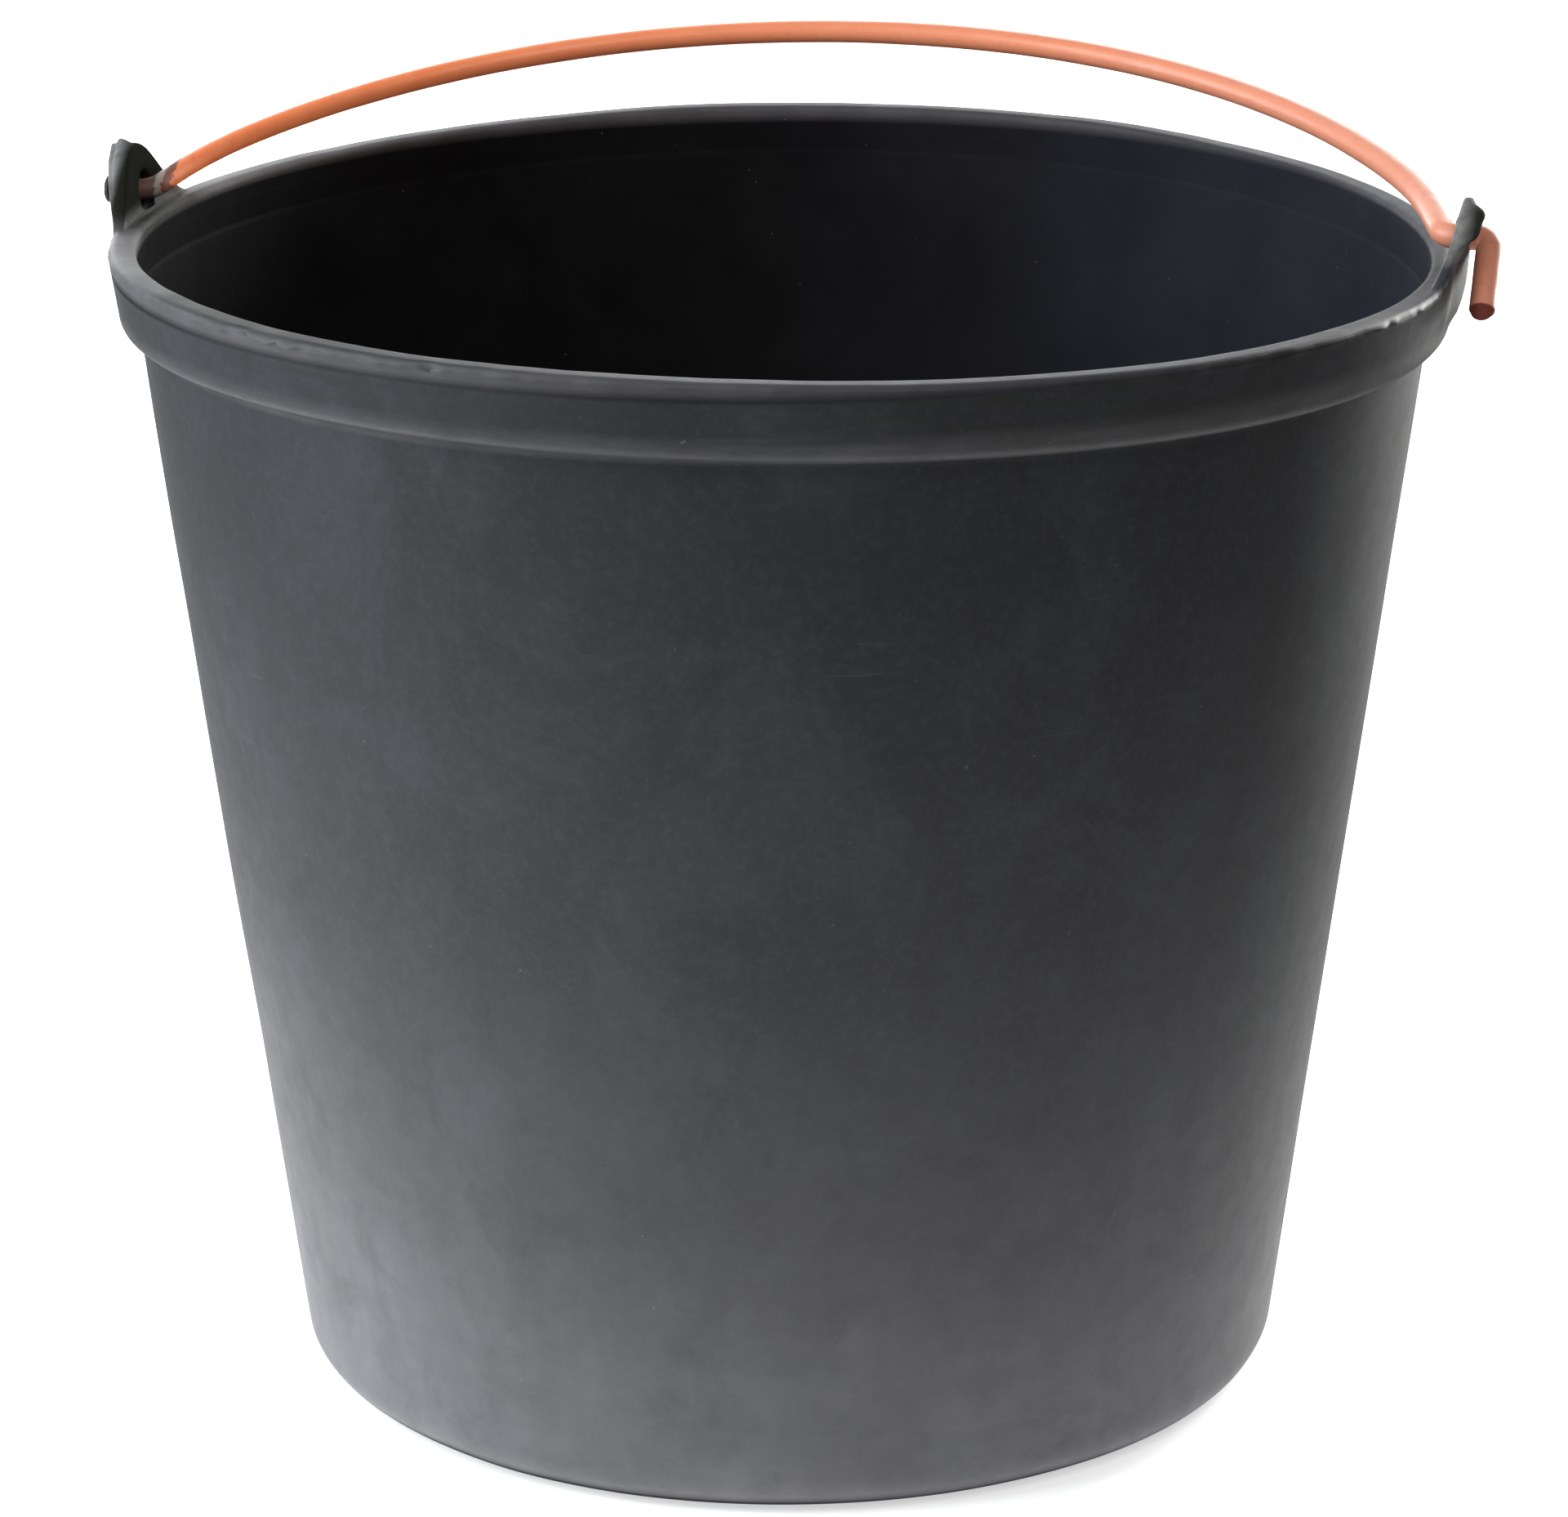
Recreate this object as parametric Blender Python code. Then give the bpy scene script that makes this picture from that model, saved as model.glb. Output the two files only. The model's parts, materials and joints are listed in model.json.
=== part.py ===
"""Feed bucket: a moulded rubber pail with two integral ears and a wire bail.

Metres, +Z up. The origin is the centre of the base, on the ground plane.
The right ear is at +X and the left ear at -X. The bail turns about a line
parallel to X through both ear holes. At rest it lies folded back, towards +Y.
"""
import math

import bmesh
import bpy
from mathutils import Matrix, Vector

MM = 0.001

# ---- bucket body, millimetres ----
HEIGHT = 289.0            # ground to rim top
RIM_OUTER_R = 167.0
RIM_INNER_R = 160.0
BASE_R = 122.65           # where the wall line would meet the ground
WALL_TOP_R = 159.3        # outer wall just under the rim band
BAND_H = 18.8             # height of the thick rim band
BAND_FOOT_Z = HEIGHT - BAND_H
WALL_MID_Z = BAND_FOOT_Z / 2
WALL_ANGLE = math.atan((WALL_TOP_R - BASE_R) / BAND_FOOT_Z)   # outward from upright
BASE_CORNER_R = 12.0
WALL_T = 5.4              # side wall thickness, measured level
FLOOR_T = 6.5
INNER_CORNER_R = 11.0
RIM_RECESS_H = 11.5       # height of the wider mouth above the inner step
STEP_Z = HEIGHT - RIM_RECESS_H
STEP_BEND_DROP = 3.6      # lower bend of the inner step, below STEP_Z
STEP_BEND_INSET = 1.2101  # how far outside the inner wall line that bend lies
STEP_FOOT_DROP = 7.5      # where the inner step meets the inner wall

# ---- ears, millimetres ----
EAR_RISE = 16.0           # ear top above the rim
EAR_HALF_W = 29.0         # half width where the ear has melted into the rim
EAR_PROUD = 4.4           # the ear's outer face stands out from the band
EAR_INNER_R = 164.0       # the ear rises from the outer part of the lip
EAR_HOLE_R = 4.6
EAR_HOLE_MOUTH_R = 5.8    # the hole opens a little towards the pail's mouth
EAR_HOLE_MOUTH_X = 163.9
EAR_HOLE_NECK_X = 165.8
CUTTER_INNER_REACH = 6.0  # cutter length inside the hole's mouth
CUTTER_OUTER_REACH = 12.0  # cutter length outside the hole's neck

# ---- rim outline, millimetres ----
# Columns: radius and height from the place named, lift (share of EAR_RISE
# that the point takes) and push (share of EAR_PROUD).
# From WALL_TOP_R and the foot of the band: crease and rounded underside.
BAND_UNDERSIDE = (
    (0.0, 0.0, 0, 0),
    (2.3, 0.7, 0, 0),
    (4.2, 2.6, 0, 0.03),
    (RIM_OUTER_R - 2.4 - WALL_TOP_R, 5.4, 0, 0.15),
)
# From RIM_OUTER_R and the rim top: slightly tapered face and outer edge.
BAND_FACE = (
    (-1.8, -11.3, 0, 0.48),
    (-1.4, -9.5, 0, 0.68),
    (-1.0, -7.0, 0.15, 0.82),
    (-0.6, -4.5, 0.40, 0.93),
    (-0.2, -2.9, 0.68, 1.0),
    (0.0, -1.7, 1.0, 1.0),
    (-0.5, -0.5, 1.0, 1.0),
    (-1.6, 0.0, 1.0, 1.0),
)
# From EAR_INNER_R and the rim top: flat of the lip, where the ears rise.
LIP_FLAT = (
    (0.55, 0.0, 1.0, 0.65),
    (0.35, 0.0, 0.96, 0.55),
    (0.2, 0.0, 0.70, 0.35),
    (0.1, 0.0, 0.40, 0.17),
    (-0.1, 0.0, 0.15, 0.05),
    (-0.6, 0.0, 0.03, 0),
    (-1.2, 0.0, 0, 0),
)
# From RIM_INNER_R and the rim top: inner edge of the lip.
LIP_INNER_EDGE = (
    (1.7, 0.0, 0, 0),
    (0.5, -0.5, 0, 0),
    (0.0, -1.7, 0, 0),
)
# From RIM_INNER_R and STEP_Z: foot of the wider mouth, start of the inner step.
MOUTH_FOOT = (
    (-0.4, 1.5, 0, 0),
    (-1.6, -1.2, 0, 0),
)

# ---- bail, millimetres ----
PIVOT_Z = 294.0
REST_FOLD = math.radians(77.5)    # bail at rest, turned back from upright
BAIL_SHIFT = 0.7          # the bow and its legs sit a little to the right
BAIL_RISE = 115.0         # pivot to the top of the bow
BOW_R = 175.85            # main arc of the bow
BOW_HALF_ANGLE = math.radians(56.5)
SHOULDER_R = 106.0        # tighter arc between the bow and each leg
LEG_ANGLE = math.radians(76.0)    # direction of the leg, from the bow's top
ELBOW_R = 4.5             # bend from the leg into the ear hole
HOOK_R = 3.6              # bend outside the right ear
HOOK_X = 175.0            # centre plane of the hook's tail
TAIL_REACH = 21.5         # tail end from the pivot line
TAIL_ANGLE = math.radians(152.0)  # tail direction, turned from the bow's direction
HEAD_X = 171.9            # inner side of the headed left end
HEAD_T = 1.5              # thickness of the head
HEAD_R = 4.5
HEAD_NECK = 0.3           # length over which the coating widens to the head
# Head, from its inner side outwards: distance from HEAD_X, coating radius.
HEAD_STATIONS = (
    (0.0, HEAD_R),
    (HEAD_T * 0.6, HEAD_R),
    (HEAD_T * 0.85, HEAD_R - 0.35),
    (HEAD_T, HEAD_R - 1.1),
)
CORE_R = 2.0              # steel wire
CORE_CLEAR = 0.1          # coating bore over the wire
COAT_R_LEFT = 2.7         # the coating is thinner at the left end
COAT_R_RIGHT = 3.15

# ---- tessellation ----
EAR_STEP_DEG = 1.0
EAR_SPAN_DEG = 10.0
RIM_STEPS = 26            # steps on each side, between the two ears
BASE_CORNER_STEPS = 5
INNER_CORNER_STEPS = 4
HOLE_SIDES = 20
TUBE_SIDES = 12
BOW_STEPS = 12            # half of the bow
SHOULDER_STEPS = 3
ELBOW_STEPS = 5
HOOK_STEPS = 6


def clear_scene():
    for obj in list(bpy.data.objects):
        bpy.data.objects.remove(obj, do_unlink=True)


def material(name, colour, roughness, metallic=0.0):
    mat = bpy.data.materials.new(name)
    mat.use_nodes = True
    inputs = mat.node_tree.nodes["Principled BSDF"].inputs
    inputs["Base Color"].default_value = (*colour, 1.0)
    inputs["Roughness"].default_value = roughness
    inputs["Metallic"].default_value = metallic
    return mat


def add_object(name, bm, mat, origin=(0, 0, 0), sharp_deg=40.0):
    """Make an object from a mesh given in world metres, with its own origin."""
    bmesh.ops.translate(bm, verts=bm.verts, vec=-Vector(origin))
    bmesh.ops.recalc_face_normals(bm, faces=bm.faces)
    mesh = bpy.data.meshes.new(name)
    bm.to_mesh(mesh)
    bm.free()
    mesh.materials.append(mat)
    obj = bpy.data.objects.new(name, mesh)
    bpy.context.scene.collection.objects.link(obj)
    obj.location = origin
    mesh.shade_smooth()
    mesh.set_sharp_from_angle(angle=math.radians(sharp_deg))
    return obj


def add_ring(bm, centre, across, up, radius, sides):
    """A circle of vertices about centre, in the plane of two unit vectors."""
    ring = []
    for k in range(sides):
        angle = 2 * math.pi * k / sides
        spoke = across * math.cos(angle) + up * math.sin(angle)
        ring.append(bm.verts.new((centre + radius * spoke) * MM))
    return ring


def bridge(bm, first, second):
    """A closed band of quads between two rings."""
    for k in range(len(first)):
        after = (k + 1) % len(first)
        bm.faces.new((first[k], first[after], second[after], second[k]))


def bridge_all(bm, rings):
    for first, second in zip(rings, rings[1:]):
        bridge(bm, first, second)


def cap_ends(bm, rings):
    bm.faces.new(rings[0])
    bm.faces.new(rings[-1])


# ---------------------------------------------------------------- body

def outer_wall_r(z):
    return BASE_R + z * math.tan(WALL_ANGLE)


def inner_wall_r(z):
    return outer_wall_r(z) - WALL_T


def plain_point(radius, z):
    """A profile point that the ears leave alone."""
    return radius, z, 0, 0


def placed(table, radius, z):
    """A rim outline table, moved to the place it is measured from."""
    return [(radius + out, z + up, lift, push) for out, up, lift, push in table]


def corner_arc(fillet_r, wall_r, floor_z, steps):
    """Fillet between a level floor and the sloping wall, floor end first.

    wall_r is the wall line's radius at floor_z.
    """
    centre_r = wall_r + fillet_r * math.tan(WALL_ANGLE) - fillet_r / math.cos(WALL_ANGLE)
    centre_z = floor_z + fillet_r
    points = []
    for i in range(steps + 1):
        angle = -math.pi / 2 + (math.pi / 2 - WALL_ANGLE) * i / steps
        points.append(plain_point(centre_r + fillet_r * math.cos(angle),
                                  centre_z + fillet_r * math.sin(angle)))
    return points


def body_profile():
    """(radius, height, lift, push) from the underside, up outside, down inside."""
    bend_z = STEP_Z - STEP_BEND_DROP
    foot_z = STEP_Z - STEP_FOOT_DROP
    inner_corner = corner_arc(INNER_CORNER_R, inner_wall_r(FLOOR_T), FLOOR_T,
                              INNER_CORNER_STEPS)
    return [
        *corner_arc(BASE_CORNER_R, BASE_R, 0.0, BASE_CORNER_STEPS),
        plain_point(outer_wall_r(WALL_MID_Z), WALL_MID_Z),
        *placed(BAND_UNDERSIDE, WALL_TOP_R, BAND_FOOT_Z),
        *placed(BAND_FACE, RIM_OUTER_R, HEIGHT),
        *placed(LIP_FLAT, EAR_INNER_R, HEIGHT),
        *placed(LIP_INNER_EDGE, RIM_INNER_R, HEIGHT),
        *placed(MOUTH_FOOT, RIM_INNER_R, STEP_Z),
        plain_point(inner_wall_r(bend_z) + STEP_BEND_INSET, bend_z),
        plain_point(inner_wall_r(foot_z), foot_z),
        plain_point(inner_wall_r(WALL_MID_Z), WALL_MID_Z),
        *reversed(inner_corner),
    ]


def ear_share(y):
    """Ear height as a share of its full rise, at a sideways distance y."""
    if abs(y) >= EAR_HALF_W:
        return 0.0
    return math.cos(math.pi * y / (2.0 * EAR_HALF_W)) ** 2


def ring_angles():
    """Angles of the upright sections, closer together across the two ears."""
    span = math.radians(EAR_SPAN_DEG)
    gap = math.pi - 2 * span
    ear_steps = round(2 * EAR_SPAN_DEG / EAR_STEP_DEG)
    angles = []
    for ear in (0.0, math.pi):
        angles += [ear - span + 2 * span * i / ear_steps for i in range(ear_steps)]
        angles += [ear + span + gap * i / RIM_STEPS for i in range(RIM_STEPS)]
    return angles


def add_section(bm, profile, angle):
    """The body's profile at an angle about Z, with the ear's share added."""
    share = ear_share(RIM_OUTER_R * math.sin(angle))
    section = []
    for radius, z, lift, push in profile:
        radius += EAR_PROUD * push * share
        z += EAR_RISE * lift * share
        section.append(bm.verts.new((radius * math.cos(angle) * MM,
                                     radius * math.sin(angle) * MM, z * MM)))
    return section


def make_hole_cutter(name, side, mat):
    """The space of an ear hole: a round bore along X with a wider inner mouth."""
    stations = (
        (EAR_HOLE_MOUTH_X - CUTTER_INNER_REACH, EAR_HOLE_R),
        (EAR_HOLE_MOUTH_X, EAR_HOLE_R),
        (EAR_HOLE_MOUTH_X, EAR_HOLE_MOUTH_R),
        (EAR_HOLE_NECK_X, EAR_HOLE_R),
        (EAR_HOLE_NECK_X + CUTTER_OUTER_REACH, EAR_HOLE_R),
    )
    bm = bmesh.new()
    rings = [add_ring(bm, Vector((side * x, 0, PIVOT_Z)), Vector((0, 1, 0)),
                      Vector((0, 0, 1)), radius, HOLE_SIDES)
             for x, radius in stations]
    bridge_all(bm, rings)
    cap_ends(bm, rings)
    cutter = add_object(name, bm, mat)
    cutter.hide_render = True
    cutter.display_type = "WIRE"
    return cutter


def make_body(mat):
    bm = bmesh.new()
    profile = body_profile()
    sections = [add_section(bm, profile, angle) for angle in ring_angles()]
    for here, after in zip(sections, sections[1:] + sections[:1]):
        for j in range(len(profile) - 1):
            bm.faces.new((here[j], after[j], after[j + 1], here[j + 1]))
    bm.faces.new([section[0] for section in reversed(sections)])   # underside
    bm.faces.new([section[-1] for section in sections])            # inner floor
    body = add_object("bucket_body", bm, mat, sharp_deg=35.0)
    for side_name, side in (("left", -1.0), ("right", 1.0)):
        cut = body.modifiers.new("ear_hole_" + side_name, "BOOLEAN")
        cut.operation = "DIFFERENCE"
        cut.object = make_hole_cutter("ear_hole_cutter_" + side_name, side, mat)
        cut.solver = "EXACT"


# ---------------------------------------------------------------- bail
# The centre line is built upright with the pivot line at z = 0, then folded.

def upright_direction(angle):
    """Unit vector in the XZ plane, turned from +Z towards +X."""
    return Vector((math.sin(angle), 0, math.cos(angle)))


def turned_points(centre, start, axis, angle, steps):
    """Points after start, turned about centre by up to angle."""
    return [centre + Matrix.Rotation(angle * i / steps, 3, axis) @ (start - centre)
            for i in range(1, steps + 1)]


def half_bow(shift):
    """From the bow's top, down the +X side and round into the pivot line."""
    bow_centre = Vector((shift, 0, BAIL_RISE - BOW_R))
    points = [bow_centre + BOW_R * upright_direction(BOW_HALF_ANGLE * i / BOW_STEPS)
              for i in range(BOW_STEPS + 1)]

    shoulder_centre = points[-1] - SHOULDER_R * upright_direction(BOW_HALF_ANGLE)
    for i in range(1, SHOULDER_STEPS + 1):
        angle = BOW_HALF_ANGLE + (LEG_ANGLE - BOW_HALF_ANGLE) * i / SHOULDER_STEPS
        points.append(shoulder_centre + SHOULDER_R * upright_direction(angle))

    leg = Vector((math.cos(LEG_ANGLE), 0, -math.sin(LEG_ANGLE)))
    corner = points[-1] + leg * (points[-1].z / -leg.z)
    elbow_start = corner - leg * ELBOW_R * math.tan(LEG_ANGLE / 2)
    elbow_centre = elbow_start + ELBOW_R * upright_direction(LEG_ANGLE)
    points.append(elbow_start)
    points += turned_points(elbow_centre, elbow_start, Vector((0, 1, 0)),
                            -LEG_ANGLE, ELBOW_STEPS)
    return points


def headed_end():
    """Straight stub with a head, built towards +X."""
    distances = [-HEAD_NECK] + [distance for distance, _ in HEAD_STATIONS]
    return [Vector((HEAD_X + distance, 0, 0)) for distance in distances]


def hooked_end():
    """Bend from along X into the tail's direction, then the straight tail."""
    tail = Vector((0, math.sin(TAIL_ANGLE), math.cos(TAIL_ANGLE)))
    bend_start = Vector((HOOK_X - HOOK_R, 0, 0))
    bend = turned_points(bend_start + tail * HOOK_R, bend_start,
                         Vector((1, 0, 0)).cross(tail), math.pi / 2, HOOK_STEPS)
    return [bend_start, *bend, Vector((HOOK_X, 0, 0)) + tail * TAIL_REACH]


def bail_path():
    """Centre line of the folded bail, from the left head to the right tail."""
    right = half_bow(BAIL_SHIFT) + hooked_end()
    # The left half is built towards +X and mirrored, so its shift is turned.
    unmirrored = half_bow(-BAIL_SHIFT)[1:] + headed_end()
    left = [Vector((-point.x, point.y, point.z)) for point in reversed(unmirrored)]
    fold = Matrix.Rotation(-REST_FOLD, 3, "X")
    pivot = Vector((0, 0, PIVOT_Z))
    return [pivot + fold @ point for point in left + right]


def cross_sections(path):
    """Two unit vectors across the path at each point, carried without twist."""
    steps = [(after - here).normalized() for here, after in zip(path, path[1:])]
    tangents = [(before + after).normalized()
                for before, after in zip(steps[:1] + steps, steps + steps[-1:])]
    across = tangents[0].orthogonal().normalized()
    sections = []
    for tangent in tangents:
        across = (across - tangent * across.dot(tangent)).normalized()
        sections.append((across, tangent.cross(across).normalized()))
    return sections


def coating_radii(path):
    """The head's radii, then an even change in radius from left to right."""
    head = [radius for _, radius in reversed(HEAD_STATIONS)]
    gain = (COAT_R_RIGHT - COAT_R_LEFT) / (2 * HOOK_X)
    return head + [COAT_R_LEFT + gain * (point.x + HOOK_X) for point in path[len(head):]]


def add_tube(bm, path, radii):
    rings = [add_ring(bm, point, across, up, radius, TUBE_SIDES)
             for point, (across, up), radius in zip(path, cross_sections(path), radii)]
    bridge_all(bm, rings)
    return rings


def make_coating(path, origin, mat):
    """The hollow coating, with a flat annulus at each end."""
    bm = bmesh.new()
    outer = add_tube(bm, path, coating_radii(path))
    bore = add_tube(bm, path, [CORE_R + CORE_CLEAR] * len(path))
    for end in (0, -1):
        bridge(bm, outer[end], bore[end])
    return add_object("bail_coating", bm, mat, origin, sharp_deg=60.0)


def make_wire(path, origin, mat):
    bm = bmesh.new()
    cap_ends(bm, add_tube(bm, path, [CORE_R] * len(path)))
    return add_object("bail_wire", bm, mat, origin, sharp_deg=60.0)


def make_bail(coat_mat, steel_mat):
    """Coating and wire, both hung on an empty on the pivot line."""
    path = bail_path()
    origin = (0, 0, PIVOT_Z * MM)
    pieces = (make_coating(path, origin, coat_mat), make_wire(path, origin, steel_mat))
    hinge = bpy.data.objects.new("bail_pivot", None)
    bpy.context.scene.collection.objects.link(hinge)
    hinge.location = origin
    # The hinge's world matrix is only current after an update.
    bpy.context.view_layer.update()
    for piece in pieces:
        piece.parent = hinge
        piece.matrix_parent_inverse = hinge.matrix_world.inverted()


def main():
    clear_scene()
    rubber = material("moulded_rubber", colour=(0.030, 0.032, 0.035), roughness=0.62)
    coating = material("orange_coating", colour=(0.72, 0.19, 0.075), roughness=0.38)
    steel = material("steel_wire", colour=(0.45, 0.44, 0.43), roughness=0.40, metallic=0.9)
    make_body(rubber)
    make_bail(coating, steel)
    bpy.context.view_layer.update()


main()
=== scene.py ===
"""Looks of the feed bucket: moulded rubber pail, dipped wire bail, plain floor.

The pail stands on z = 0 around the Z axis, with an ear at each end of the X axis. Front is -Y
and left is -X. The bail turns about X through the ears and lies folded to the back; its right
end is hooked and its left end has a flat head. Lengths are in mm unless a name or comment
says otherwise; meshes and materials are in metres.
"""

import json
import math

import bmesh
import bpy
import numpy as np
from mathutils import Matrix, Vector

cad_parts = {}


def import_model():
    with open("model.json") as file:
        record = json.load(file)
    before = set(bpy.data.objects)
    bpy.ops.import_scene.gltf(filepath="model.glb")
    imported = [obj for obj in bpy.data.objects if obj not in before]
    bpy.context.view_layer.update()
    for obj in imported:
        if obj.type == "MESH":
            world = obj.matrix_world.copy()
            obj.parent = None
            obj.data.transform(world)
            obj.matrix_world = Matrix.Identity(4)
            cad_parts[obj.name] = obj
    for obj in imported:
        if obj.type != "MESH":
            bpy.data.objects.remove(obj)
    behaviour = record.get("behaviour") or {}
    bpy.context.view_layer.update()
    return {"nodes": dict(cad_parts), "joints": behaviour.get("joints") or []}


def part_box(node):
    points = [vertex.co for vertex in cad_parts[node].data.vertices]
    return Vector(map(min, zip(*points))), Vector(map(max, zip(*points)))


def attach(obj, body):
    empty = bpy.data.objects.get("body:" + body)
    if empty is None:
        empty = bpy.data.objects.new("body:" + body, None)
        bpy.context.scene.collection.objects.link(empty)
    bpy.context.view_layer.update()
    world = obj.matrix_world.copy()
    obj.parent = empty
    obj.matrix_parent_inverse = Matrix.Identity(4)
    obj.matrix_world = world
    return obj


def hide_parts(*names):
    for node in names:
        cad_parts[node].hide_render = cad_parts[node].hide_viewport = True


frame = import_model()
MM = 0.001

# ------------------------------------------------------------------ sizes
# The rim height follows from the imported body: its top is the ears' top.
EAR_RISE = 16.0
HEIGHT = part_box("bucket_body")[1].z / MM - EAR_RISE
RIM_OUTER_R = 167.0
RIM_INNER_R = 160.0
BASE_R = 122.65
WALL_TOP_R = 159.3
BAND_H = 18.8
BAND_Z = HEIGHT - BAND_H
WALL_T = 5.4
FLOOR_T = 6.5
RIM_RECESS_H = 11.5
SLOPE = math.atan((WALL_TOP_R - BASE_R) / BAND_Z)
SPACING = 1.9  # between profile points

EAR_HALF_W = 30.0
EAR_PROUD = 4.4
EAR_INNER_R = 164.0
EAR_HOLE_R = 4.6
EAR_HALF_ANGLE = math.radians(10.6)  # finely cut part of the ring at each ear
EAR_STEPS = 92
SIDE_STEPS = 270
RIGHT_EAR_BULGE = 2.3
RIGHT_EAR_HOLLOW = 1.65
NUB_Y, NUB_W, NUB_H = -1.0, 1.7, 1.7  # gate nub on the left ear

# How the ears grow out of the band's outside: z, share of the rise, share of the outward push
BAND_GROWTH = (
    (BAND_Z + 2.6, 0, 0.03), (BAND_Z + 5.4, 0, 0.15), (HEIGHT - 11.3, 0, 0.48),
    (HEIGHT - 9.5, 0, 0.68), (HEIGHT - 7.0, 0.15, 0.82), (HEIGHT - 4.5, 0.40, 0.93),
    (HEIGHT - 2.9, 0.68, 1.0), (HEIGHT - 1.7, 1.0, 1.0),
)
# The same on the flat of the lip: distance inwards from EAR_INNER_R, rise, push
LIP_GROWTH = (
    (-0.55, 1.0, 0.65), (-0.45, 0.99, 0.60), (-0.35, 0.95, 0.54), (-0.2, 0.70, 0.35),
    (-0.1, 0.40, 0.17), (0.1, 0.15, 0.05), (0.5, 0.04, 0.0), (1.2, 0.0, 0.0),
)
LIP_ROWS = 36
# How far the mouth is out of round and out of level:
# constant, then (cosine, sine) amounts for one, two, three... waves around
MOUTH_OUT = (-0.4, ((0.33, -0.63), (-0.2, -0.95), (0.21, -0.96), (0.05, -0.8)))
MOUTH_UP = (0.0, ((-1.26, -0.58), (-1.1, 0.49), (0.4, -0.28)))
# cuts in the front of the lip: angle in degrees, width, depth
NICKS = ((253.6, 1.6, 1.5), (234.0, 0.8, 1.1), (241.5, 0.6, 0.5))

PIVOT = Vector(frame["joints"][0]["pos_m"]) / MM
REST_FOLD = math.radians(77.5)
FOLD = Matrix.Rotation(-REST_FOLD, 3, "X")
BAIL_SHIFT = 0.7
BAIL_RISE = 115.0
BOW_R = 175.85
BOW_HALF = math.radians(56.5)
SHOULDER_R = 106.0
LEG = math.radians(72.0)
ELBOW_R = 5.4
HOOK_R = 3.6
HOOK_X = 174.1
TAIL_REACH = 21.5
TAIL = math.radians(152.0)
TAIL_DIR = Vector((0, math.sin(TAIL), math.cos(TAIL)))
HEAD_X = 171.9
HEAD_R = 3.5
# left head, from its neck outwards: distance beyond HEAD_X, how far the radius is below HEAD_R
HEAD_STATIONS = ((-0.12, 1.0), (0.0, 0.35), (0.15, 0.0), (0.45, 0.0), (0.8, 0.1),
                 (1.05, 0.3), (1.25, 0.65), (1.4, 1.1), (1.5, 1.9))
COAT_R_LEFT = 2.6
COAT_R_RIGHT = 3.15
COAT_WAVER = 0.05
DOME_R = 0.6  # rounding of the hook's end
# the sunken end face inside the dome: radius lost, distance back from the tip
DOME_FACE = ((0.75, 0.05), (0.95, 0.22), (1.25, 0.30))
BAIL_SIDES = 40
HOLE_SIDES = 48


# ------------------------------------------------------------------ noise and mesh helpers
def value_noise(around, up, cells_around, cells_up, seed):
    """Value noise, -1..1, periodic in around over 0..1; up is in 0..1."""
    shape = (cells_around, cells_up + 2)
    grid = np.random.RandomState(seed).uniform(-1.0, 1.0, shape)
    x = (around % 1.0) * cells_around
    y = np.clip(up, 0, 1) * cells_up
    i = np.floor(x).astype(int) % cells_around
    j = np.clip(np.floor(y).astype(int), 0, cells_up)
    ease_x = smooth(x - np.floor(x))
    ease_y = smooth(np.clip(y - j, 0, 1))
    k = (i + 1) % cells_around
    low = grid[i, j] * (1 - ease_x) + grid[k, j] * ease_x
    high = grid[i, j + 1] * (1 - ease_x) + grid[k, j + 1] * ease_x
    return low * (1 - ease_y) + high * ease_y


def ring_noise(around, cells, seed):
    """Value noise that changes only around the ring."""
    return value_noise(around, 0.0, cells, 1, seed)


def smooth(t):
    return t * t * t * (t * (6 * t - 15) + 10)


def smoothstep(start, end, x):
    t = np.clip((x - start) / (end - start), 0, 1)
    return t * t * (3 - 2 * t)


def bell(x, width):
    return np.exp(-(x / width) ** 2)


def add_object(name, data):
    thing = bpy.data.objects.new(name, data)
    bpy.context.scene.collection.objects.link(thing)
    return thing


def skin(name, rings):
    """A closed object over rings of points in metres, with flat caps."""
    bm = bmesh.new()
    rings = [[bm.verts.new(point) for point in ring] for ring in rings]
    sides = len(rings[0])
    for ring, following in zip(rings, rings[1:]):
        for k in range(sides):
            beside = (k + 1) % sides
            bm.faces.new((ring[k], ring[beside], following[beside], following[k]))
    bm.faces.new(rings[0])
    bm.faces.new(rings[-1])
    bmesh.ops.recalc_face_normals(bm, faces=bm.faces)
    mesh = bpy.data.meshes.new(name)
    bm.to_mesh(mesh)
    bm.free()
    return add_object(name, mesh)


def smooth_shade(thing, sharp_angle):
    thing.data.shade_smooth()
    thing.data.set_sharp_from_angle(angle=math.radians(sharp_angle))


# ------------------------------------------------------------------ pail profile
def wall_r(z):
    return BASE_R + z * math.tan(SLOPE)


def straight(start, end):
    n = max(1, int(math.ceil(np.linalg.norm(end - start) / SPACING)))
    return [start + (end - start) * k / n for k in range(1, n + 1)]


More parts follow.
